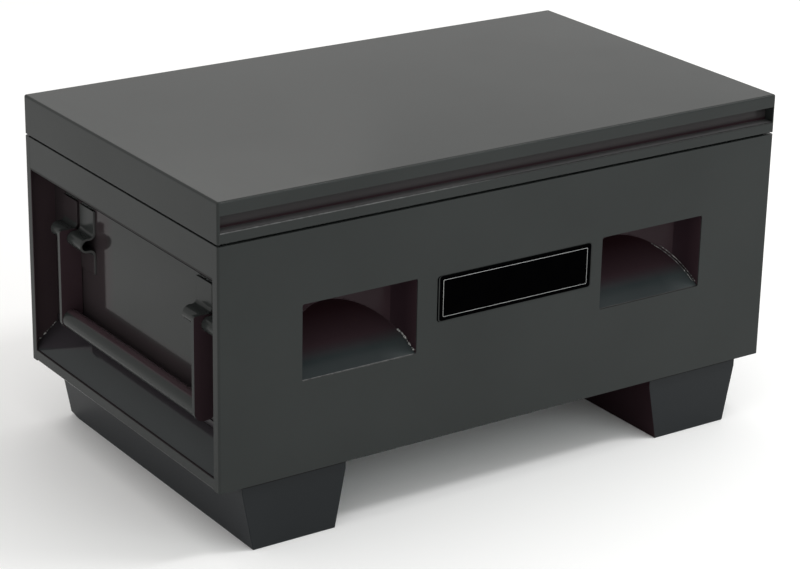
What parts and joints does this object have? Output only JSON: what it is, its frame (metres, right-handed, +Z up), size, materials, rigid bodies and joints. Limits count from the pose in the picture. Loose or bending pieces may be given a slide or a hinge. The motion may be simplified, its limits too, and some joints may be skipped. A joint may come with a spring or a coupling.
{
  "type": "jobsite storage box",
  "caption": "Sheet-steel jobsite storage chest on two skids, with a hinged lid, front padlock pockets and a drop handle recessed in each end.",
  "frame": {"origin": "centre of the base: the bottom centre of the bounding box, on the ground under the skids", "axes": "+X along the long side, towards the right-hand end; +Z up; the front with the lock pockets faces -Y"},
  "size_m": [0.8128, 0.4842, 0.4394],
  "materials": {
    "grey_paint": "semi-gloss powder coat",
    "bare_steel": "satin",
    "nameplate": "satin, with a thin pale border"
  },
  "bodies": {
    "box": {"back_panel": "grey_paint", "bottom_panel": "grey_paint", "front_panel": "grey_paint", "hinge_body_leaf": "grey_paint", "left_end_panel": "grey_paint", "left_header": "grey_paint", "left_pivot_straps": "grey_paint", "left_pocket_ceiling": "grey_paint", "left_pocket_floor": "grey_paint", "left_pocket_wall": "grey_paint", "left_recess_ramp": "grey_paint", "left_skid": "grey_paint", "nameplate": "nameplate", "right_end_panel": "grey_paint", "right_header": "grey_paint", "right_pivot_straps": "grey_paint", "right_pocket_ceiling": "grey_paint", "right_pocket_floor": "grey_paint", "right_pocket_wall": "grey_paint", "right_recess_ramp": "grey_paint", "right_skid": "grey_paint", "rim_frame": "grey_paint", "stay_stud": "bare_steel"},
    "lid": {"hinge_lid_leaf": "grey_paint", "left_lock_tab": "grey_paint", "lid_front_rail": "grey_paint", "lid_pan": "grey_paint", "lid_stiffener": "grey_paint", "right_lock_tab": "grey_paint", "stay_bracket": "grey_paint", "stay_pivot_pin": "bare_steel"},
    "stay": {"stay_bar": "bare_steel"},
    "left_handle": {"left_handle_arms": "grey_paint", "left_handle_grip": "grey_paint", "left_handle_pins": "grey_paint"},
    "right_handle": {"right_handle_arms": "grey_paint", "right_handle_grip": "grey_paint", "right_handle_pins": "grey_paint"}
  },
  "joints": [
    {"name": "lid_hinge", "type": "hinge", "parent": "box", "child": "lid", "pos_m": [0, 0.2391, 0.385], "axis": [-1, 0, 0], "range_deg": [0, 100]},
    {"name": "stay_pivot", "type": "hinge", "parent": "lid", "child": "stay", "pos_m": [0.3609, 0.12005, 0.40004], "axis": [-1, 0, 0], "range_deg": [-50, 0]},
    {"name": "left_handle_swing", "type": "hinge", "parent": "box", "child": "left_handle", "pos_m": [-0.3807, -0.0028, 0.269], "axis": [0, 1, 0], "range_deg": [0, 90]},
    {"name": "right_handle_swing", "type": "hinge", "parent": "box", "child": "right_handle", "pos_m": [0.3807, -0.0028, 0.269], "axis": [0, -1, 0], "range_deg": [0, 90]}
  ],
  "couplings": [
    {"joint": "stay_pivot", "follows": "lid_hinge", "ratio": -0.5}
  ]
}
